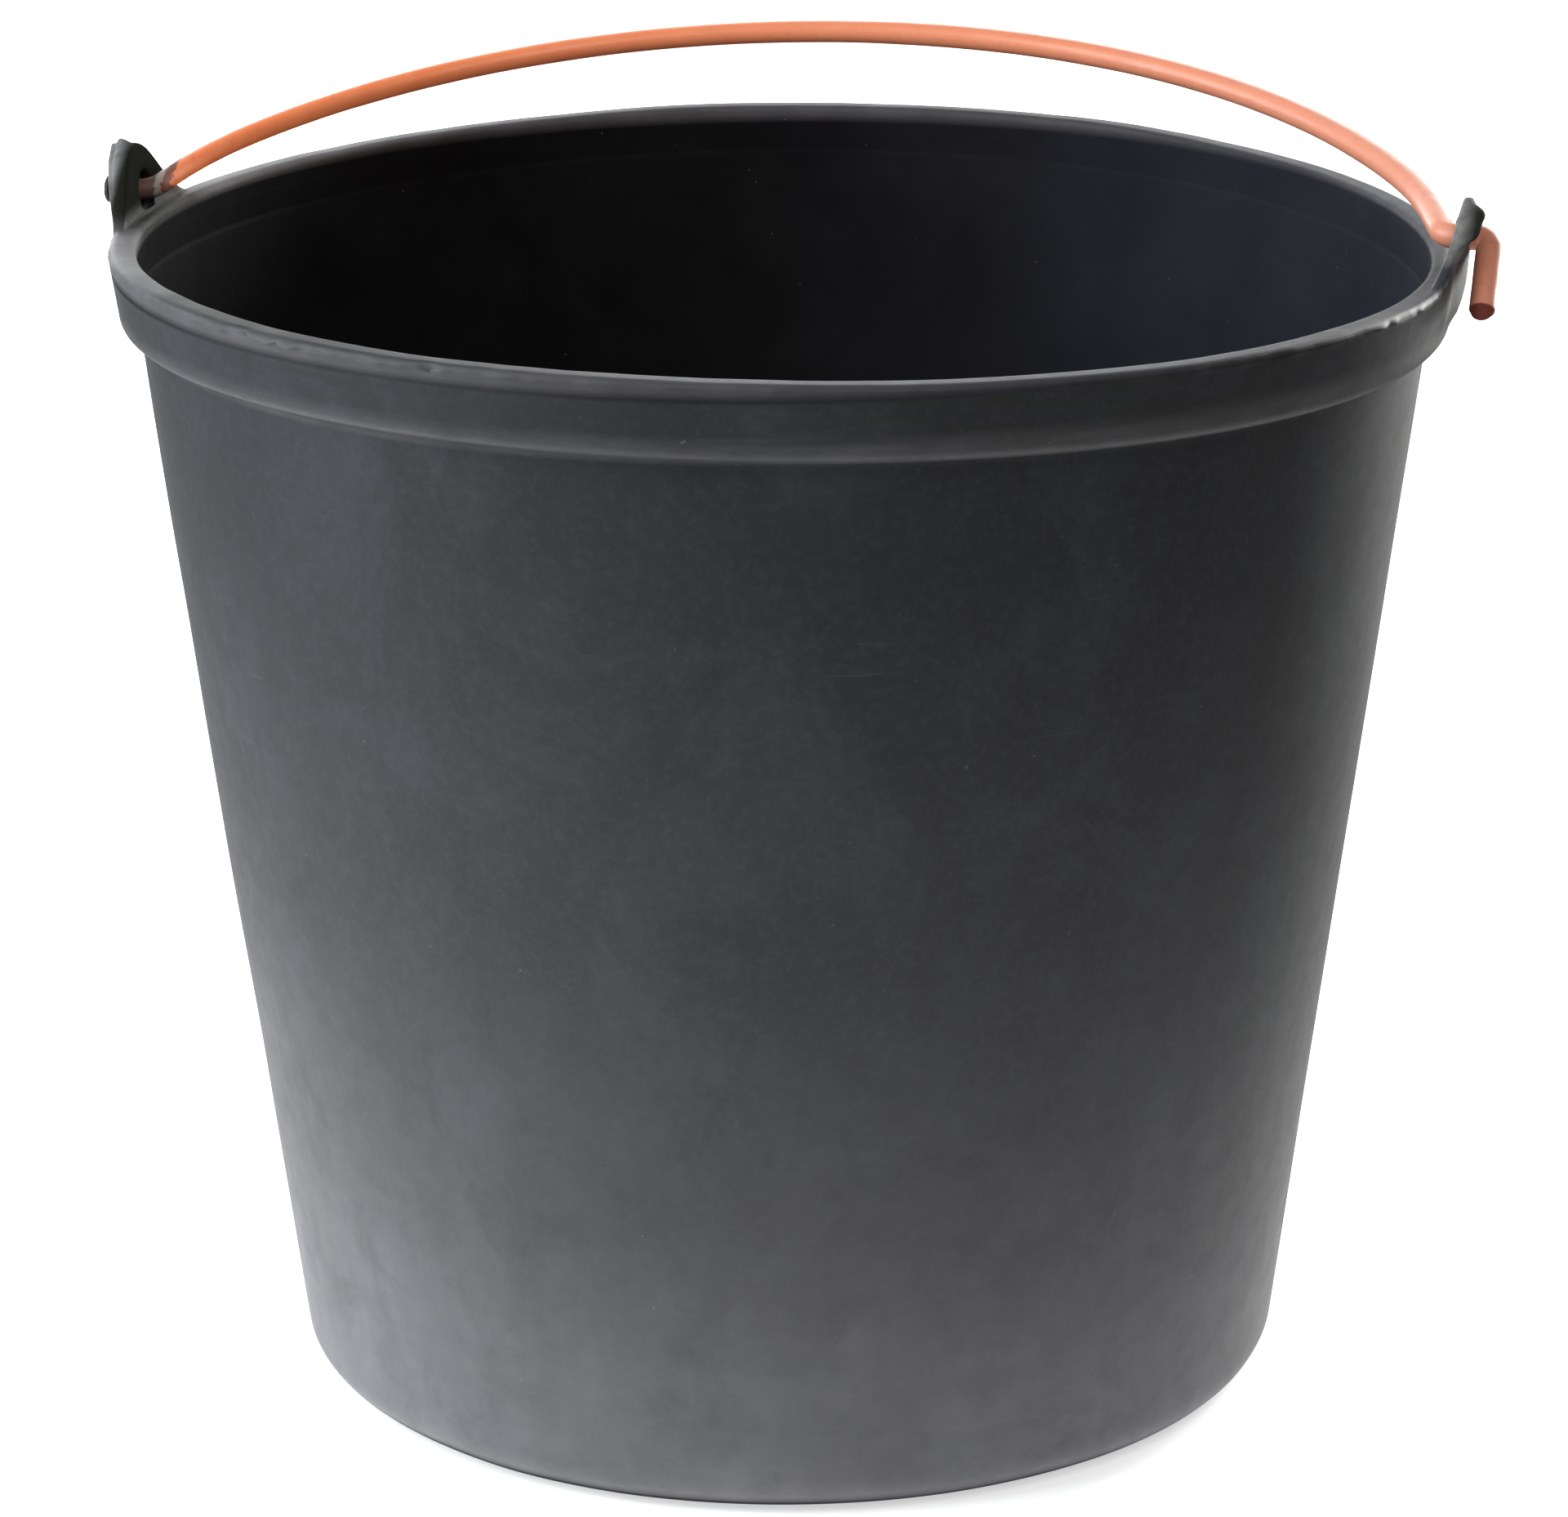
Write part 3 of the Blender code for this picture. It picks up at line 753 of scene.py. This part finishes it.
def paint_ears(mat, colour, ears, foot):
    """The ears have gone olive; the grey on the sides that face left is painted light, and the
    inner foot of the left ear gets painted shade.
    """
    olive = mat.ramp(mat.noise(scale=110.0, detail=5.0, rough=0.65, warp=0.5),
                     (0.35, (0.010, 0.011, 0.008)), (0.72, (0.045, 0.046, 0.034)))
    # painted light: grey where the ears' outer faces catch the light
    lit_grey_left = mat.edge(-0.1652, start=mat.x, steepness=300.0)
    lit_grey_right = mat.mul(mat.edge(0.1715, start=mat.x, steepness=260.0),
                         mat.rise(mat.mul(mat.x, 10.0)))
    patch = mat.ramp(mat.noise(scale=160.0, detail=5.0, rough=0.65, warp=0.4),
                     (0.3, 0.45), (0.7, 1.0))
    grey = mat.mul(mat.largest(lit_grey_left, lit_grey_right), patch)
    olive = mat.mix(grey, olive, (0.34, 0.34, 0.335))
    colour = mat.paint(colour, ears, tint=olive, strength=0.94)
    # painted shade: darker at the inner foot of the left ear
    painted_foot_shade = mat.mul(foot, mat.ramp(patch, (0.45, 0.95), (1.0, 0.72)))
    return mat.mix(painted_foot_shade, colour, (0.014, 0.015, 0.012))


def left_foot_shade_mask(mat):
    """The lip at the inner foot of the left ear, where shade is painted."""
    beside = mat.mul(mat.math("ABSOLUTE", mat.y), 20.0)
    return mat.mul(mat.rise(mat.mul(mat.add(mat.x, 0.1672), 400.0)),
                   mat.rise(mat.mul(mat.x, -10.0)),
                   mat.ramp(beside, (0.44, 1.0), (0.72, 0.0)),
                   mat.edge(mat.z, start=0.2850, steepness=400.0))


def scratch_mask(mat):
    marks = None
    for stretch, offset in SCRATCHES:
        shifted = mat.node("VectorMath", {0: mat.scaled(stretch),
                                          1: (offset, offset * 0.7, offset * 1.3)},
                           operation="ADD").outputs[0]
        thin = mat.noise(scale=420.0, detail=2.0, rough=0.5, warp=0.3, vector=shifted)
        groups = mat.noise(scale=14.0, detail=2.0, rough=0.5, vector=shifted)
        mark = mat.mul(mat.rise(thin, start=0.715, end=0.76),
                       mat.rise(groups, start=0.55, end=0.68))
        marks = mark if marks is None else mat.largest(marks, mark)
    return marks


def rubber_material():
    mat = new_material("moulded_rubber_worn_painted_light")
    mat.split_place()
    outside = outside_mask(mat)
    mottle = mat.noise(scale=34.0, detail=4.0, rough=0.6, warp=0.4)
    fine = mat.noise(scale=150.0, detail=4.0, rough=0.65)
    height = mat.div(mat.z, FILM_H)
    # pale film; its extra on the left is painted light
    pale_film_and_left_light = pale_film_and_painted_light(mat, height, mottle)
    film_tint = mat.mix(mat.rise(height, start=0.25, end=0.85), FILM_LOW, FILM_HIGH)
    ears = mat.edge(mat.z, start=0.2905, steepness=400.0)
    lip = mat.mul(mat.edge(mat.z, start=0.2855, steepness=400.0), mat.inverse(ears))
    foot = left_foot_shade_mask(mat)
    marks = scratch_mask(mat)

    colour = mat.mix(mat.mul(pale_film_and_left_light, outside), bare_rubber(mat, outside, mottle), film_tint)
    colour = paint_wall(mat, colour, outside)
    colour = paint_band(mat, colour, outside)
    colour = paint_lip_wear_and_sheen(mat, colour, lip)
    colour = paint_ears(mat, colour, ears, foot)
    # scratches, a few rubbed patches, specks
    colour = mat.paint(colour, marks, tint=(0.15, 0.15, 0.16), strength=0.26)
    rubbed = mat.rise(mat.noise(scale=26.0, detail=6.0, rough=0.7, warp=0.8),
                      start=0.66, end=0.80)
    colour = mat.paint(colour, rubbed, outside, tint=(0.10, 0.10, 0.11), strength=0.10)
    specks = mat.rise(mat.noise(scale=620.0, detail=1.0, rough=0.5), start=0.80, end=0.83)
    colour = mat.paint(colour, specks, tint=(0.22, 0.22, 0.22), strength=0.35)

    # rougher where there is film, on rubbed patches, on the ears and in the bowl
    rough = mat.ramp(fine, (0.3, 0.44), (0.7, 0.53))
    for extra in (mat.mul(pale_film_and_left_light, outside, 0.25), mat.mul(rubbed, 0.06), mat.mul(ears, 0.22),
                  mat.mul(mat.inverse(outside), 0.16)):
        rough = mat.math("ADD", rough, extra, clamp=True)
    # the bowl, the ears and the foot of the left ear with its painted shade hardly shine
    shine = mat.add(0.015, mat.mul(mat.largest(outside, mat.mul(lip, 0.6)), 0.50))
    shine = mat.mul(shine, mat.inverse(mat.mul(mat.largest(ears, foot), 0.72)))
    grain = mat.noise(scale=1500.0, detail=2.0, rough=0.5)
    waves_up = mat.noise(scale=38.0, detail=3.0, rough=0.5, stretch=(1, 1, 0.35))
    relief = mat.bump(grain, strength=0.16, distance=0.00010)
    relief = mat.bump(fine, strength=0.16, distance=0.0004, under=relief)
    relief = mat.bump(waves_up, strength=0.22, distance=0.0012, under=relief)
    relief = mat.bump(marks, strength=-0.2, distance=0.0002, under=relief)
    mat.surface({"Base Color": colour, "Roughness": rough, "Specular IOR Level": shine,
                 "Normal": relief})
    return mat.owner


# ------------------------------------------------------------------ bail coating and wire
ORANGE = ((0.25, (0.93, 0.215, 0.070)), (0.55, (0.98, 0.26, 0.092)), (0.85, (1.0, 0.30, 0.125)))
ORANGE_PAINTED_LIGHT = (0.80, 0.345, 0.235)
GRIME = (0.14, 0.05, 0.035)
# wear and painted shade at the left ear, outwards: distance left in metres, steepness, strength,
# colour
LEFT_WEAR_AND_SHADE = (
    # brown-red: worn coat, partly painted shade on the wire; grey collar: bare steel, partly a
    # painted highlight
    (0.1574, 1500.0, 0.85, (0.17, 0.055, 0.04)),  # brown-red
    (0.1592, 2500.0, 0.9, (0.50, 0.46, 0.41)),  # grey collar
    # brown within the ear: painted shade on the wire in the hole
    (0.1606, 2500.0, 0.9, (0.15, 0.06, 0.045)),  # brown within the ear
    (0.1685, 1500.0, 0.95, (0.022, 0.020, 0.018)),  # dark outer end
)


def paint_left_wear_and_shade(mat, colour):
    """Returns the colour, and the mask of all the wear and painted shade."""
    ragged = mat.mul(mat.sub(mat.noise(scale=700.0, detail=3.0, rough=0.6), 0.5), 0.0016)
    leftward = mat.sub(mat.mul(mat.x, -1.0), ragged)
    masks = []
    for start, steepness, strength, tint in LEFT_WEAR_AND_SHADE:
        masks.append(mat.edge(leftward, start=start, steepness=steepness, end=0.6))
        colour = mat.paint(colour, masks[-1], tint=tint, strength=strength)
    return colour, masks[0]


def hook_end_mask(mat):
    tail = FOLD @ TAIL_DIR
    along = mat.add(mat.mul(mat.y, tail.y), mat.mul(mat.sub(mat.z, PIVOT.z * MM), tail.z))
    return mat.mul(
        mat.edge(along, start=(TAIL_REACH + 0.15) * MM, steepness=3000.0, end=0.9),
        mat.edge(mat.x, start=0.165, steepness=900.0, end=0.9))


def coat_material():
    mat = new_material("dipped_orange")
    mat.split_place()
    # paler towards the hooked end: painted light from the right
    rightness = mat.across((0.05, 0.0), (0.95, 1.0), steepness=3.0)
    colour = mat.ramp(mat.noise(scale=60.0, detail=4.0, rough=0.6), *ORANGE)
    colour = mat.paint(colour, rightness, tint=ORANGE_PAINTED_LIGHT, strength=0.75)
    # grime, most of it near the ends and less on the right
    grime = mat.rise(mat.noise(scale=260.0, detail=5.0, rough=0.65, warp=0.5),
                     start=0.50, end=0.78)
    ends = mat.edge(mat.math("ABSOLUTE", mat.x), start=0.142, steepness=30.0, end=0.9)
    end_grime = mat.mul(ends, mat.sub(0.55, mat.mul(rightness, 0.42)))
    colour = mat.mix(mat.mul(grime, mat.add(end_grime, 0.12)), colour, GRIME)
    colour, wear_and_painted_light = paint_left_wear_and_shade(mat, colour)
    # the cut end of the hook shows dark red
    colour = mat.paint(colour, hook_end_mask(mat), tint=(0.16, 0.022, 0.016), strength=0.92)
    rough = mat.ramp(mat.noise(scale=180.0, detail=4.0, rough=0.6), (0.3, 0.32), (0.75, 0.48))
    rough = mat.math("ADD", rough, mat.mul(wear_and_painted_light, 0.2), clamp=True)
    # painted light: the coating glows a little towards the left, away from the wear and painted
    # shade at the ear
    glow = mat.mul(0.20, mat.inverse(mat.largest(rightness, wear_and_painted_light)))
    relief = mat.bump(mat.noise(scale=320.0, detail=3.0, rough=0.55),
                      strength=0.20, distance=0.0004)
    fibres = mat.noise(scale=900.0, detail=2.0, rough=0.5, stretch=(0.25, 1, 1))
    relief = mat.bump(fibres, strength=0.12, distance=0.0002, under=relief)
    mat.surface({"Base Color": colour, "Roughness": rough, "Specular IOR Level": 0.5,
                 "Emission Color": colour, "Emission Strength": glow, "Normal": relief})
    return mat.owner


def steel_material():
    mat = new_material("wire_steel")
    mottle = mat.noise(scale=300.0, detail=4.0, rough=0.6)
    mat.surface({
        "Base Color": mat.ramp(mottle, (0.35, (0.30, 0.28, 0.26)), (0.7, (0.52, 0.50, 0.48))),
        "Roughness": mat.ramp(mottle, (0.3, 0.55), (0.7, 0.35)),
        "Metallic": 0.9,
        "Normal": mat.bump(mat.noise(scale=1200.0, detail=2.0), strength=0.2, distance=0.0002),
    })
    return mat.owner


def assign(thing, material):
    thing.data.materials.clear()
    thing.data.materials.append(material)
    for face in thing.data.polygons:
        face.material_index = 0


assign(pail, rubber_material())
assign(bail, coat_material())
assign(frame["nodes"]["bail_wire"], steel_material())

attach(pail, "bucket")
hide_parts("bucket_body")
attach(bail, "bail")
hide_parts("bail_coating")

# ------------------------------------------------------------------ floor, light, camera
# light the floor throws back: distance from the axis in metres, share
FLOOR_FADE = ((0.10, 1.0), (0.22, 0.78), (0.36, 0.40), (0.55, 0.18), (0.9, 0.08))
FLOOR_GLOW = 0.55  # emission seen by the camera
FLOOR_BOUNCE = 2.1  # emission seen by everything else
# glow from behind and from the left: direction where it starts, where it is full, strength
BACK_GLOW = (0.35, 0.97, 1.9)
LEFT_GLOW = (0.35, -0.75, 0.50)
OVERHEAD_SHARE = 0.45  # of both glows, straight above
EVEN_GLOW = 0.075
# softboxes, in metres: name, place, aim, width, height, brightness, tint
PANELS = (
    ("key_left", (-2.0, -0.75, 0.7), (0, 0, 0.12), 1.7, 1.3, 5.4, (0.83, 0.92, 1.0)),
    ("rim_right", (0.85, 1.5, 0.35), (0, 0, 0.12), 0.5, 1.2, 22.0, (1.0, 1.0, 0.96)),
    ("rim_left", (-0.85, 1.5, 0.30), (0, 0, 0.12), 0.5, 1.0, 12.0, (0.95, 0.98, 1.0)),
    ("fill_left", (-1.4, -1.1, 1.5), (0, 0, 0.28), 0.9, 0.9, 6.8, (0.97, 0.99, 1.0)),
    ("behind_top", (0.25, 1.9, 1.15), (0, 0, 0.25), 1.6, 0.9, 2.0, (1.0, 1.0, 1.0)),
    ("fill_front", (0.95, -1.3, 1.75), (0, 0, 0.28), 1.1, 1.1, 3.7, (1.0, 0.99, 0.97)),
)
CAMERA_AZIMUTH = math.radians(12.0)  # from the front towards the right
CAMERA_ELEVATION = 0.2936  # radians
CAMERA_ROLL = -0.0078  # radians
CAMERA_DISTANCE = 1567.5
CAMERA_AIM_RIGHT = -0.39
CAMERA_AIM_Z = 153.8
LENS = 142.59375
SENSOR_W = 36.0


def floor_material():
    """Close to white for the camera; its bounce is strongest near the pail and on the left."""
    mat = new_material("pale_floor")
    mat.split_place()
    bounce = mat.mul(mat.ramp(mat.radius(), *FLOOR_FADE, interp="EASE"),
                     mat.across((0.1, 0.32), (0.5, 0.64), (0.9, 1.0), steepness=-1.0))
    direct = mat.camera_ray()
    pale = mat.ramp(mat.noise(scale=3.0, detail=4.0, rough=0.6),
                    (0.3, (0.90, 0.90, 0.90)), (0.7, (0.93, 0.93, 0.93)))
    black = (0, 0, 0)
    colour = mat.mix(1.0, mat.mix(direct, black, pale),
                     mat.mix(mat.inverse(direct), black, bounce), blend="ADD")
    glow = mat.add(mat.mul(direct, FLOOR_GLOW),
                   mat.mul(mat.inverse(direct), mat.mul(bounce, FLOOR_BOUNCE)))
    relief = mat.bump(mat.noise(scale=400.0, detail=2.0), strength=0.04, distance=0.0005)
    mat.surface({"Base Color": colour, "Roughness": 0.85, "Normal": relief,
                 "Emission Color": (1.0, 1.0, 1.0, 1), "Emission Strength": glow})
    return mat.owner


def floor():
    bm = bmesh.new()
    bmesh.ops.create_grid(bm, x_segments=2, y_segments=2, size=6.0)
    mesh = bpy.data.meshes.new("studio_floor")
    bm.to_mesh(mesh)
    bm.free()
    ground = add_object("studio_floor", mesh)
    ground.location.z = -0.0002
    ground.data.materials.append(floor_material())


def world():
    """White for the camera; elsewhere a soft glow from behind and from the left."""
    studio = bpy.data.worlds.new("studio")
    bpy.context.scene.world = studio
    graph = Graph(studio, "Generated")
    graph.split_place()

    def span(value, start, end, low=0.0, high=1.0):
        return graph.node("MapRange", {"Value": value, "From Min": start, "From Max": end,
                                       "To Min": low, "To Max": high},
                          interpolation_type="SMOOTHSTEP").outputs["Result"]

    def glow_from(value, start, full, strength):
        return graph.mul(span(value, start, full), strength)

    glow = graph.add(glow_from(graph.y, *BACK_GLOW), glow_from(graph.x, *LEFT_GLOW))
    glow = graph.mul(glow, span(graph.z, start=0.35, end=0.85, low=1.0, high=OVERHEAD_SHARE))
    glow = graph.add(glow, EVEN_GLOW)
    strength = graph.node("Mix", {0: graph.camera_ray(), 2: glow, 3: 1.0}, data_type="FLOAT")
    graph.fill(graph.tree.nodes["Background"],
               {"Color": (0.97, 0.985, 1.0, 1), "Strength": strength.outputs[0]})


def softboxes():
    for name, place, aim, width, height, brightness, tint in PANELS:
        light = bpy.data.lights.new(name, "AREA")
        light.shape = "RECTANGLE"
        light.size = width
        light.size_y = height
        light.energy = brightness * math.pi * width * height
        light.color = tint
        panel = add_object(name, light)
        panel.location = place
        towards = Vector(aim) - Vector(place)
        panel.rotation_euler = towards.to_track_quat("-Z", "Y").to_euler()


def camera():
    azimuth, elevation = CAMERA_AZIMUTH, CAMERA_ELEVATION
    back = Vector((math.sin(azimuth) * math.cos(elevation),
                   -math.cos(azimuth) * math.cos(elevation), math.sin(elevation)))
    right = Vector((math.cos(azimuth), math.sin(azimuth), 0))
    up = back.cross(right)
    target = right * CAMERA_AIM_RIGHT + Vector((0, 0, CAMERA_AIM_Z))
    rolled_right = math.cos(CAMERA_ROLL) * right + math.sin(CAMERA_ROLL) * up
    rolled_up = -math.sin(CAMERA_ROLL) * right + math.cos(CAMERA_ROLL) * up
    lens = bpy.data.cameras.new("photo_camera")
    lens.sensor_fit = "HORIZONTAL"
    lens.sensor_width = SENSOR_W
    lens.lens = LENS
    lens.clip_start = 0.05
    lens.clip_end = 50
    viewer = add_object("photo_camera", lens)
    pose = Matrix((rolled_right, rolled_up, back)).transposed().to_4x4()
    pose.translation = (target + back * CAMERA_DISTANCE) * MM
    viewer.matrix_world = pose
    bpy.context.scene.camera = viewer


floor()
world()
softboxes()
bpy.context.scene.view_settings.view_transform = "Standard"
camera()
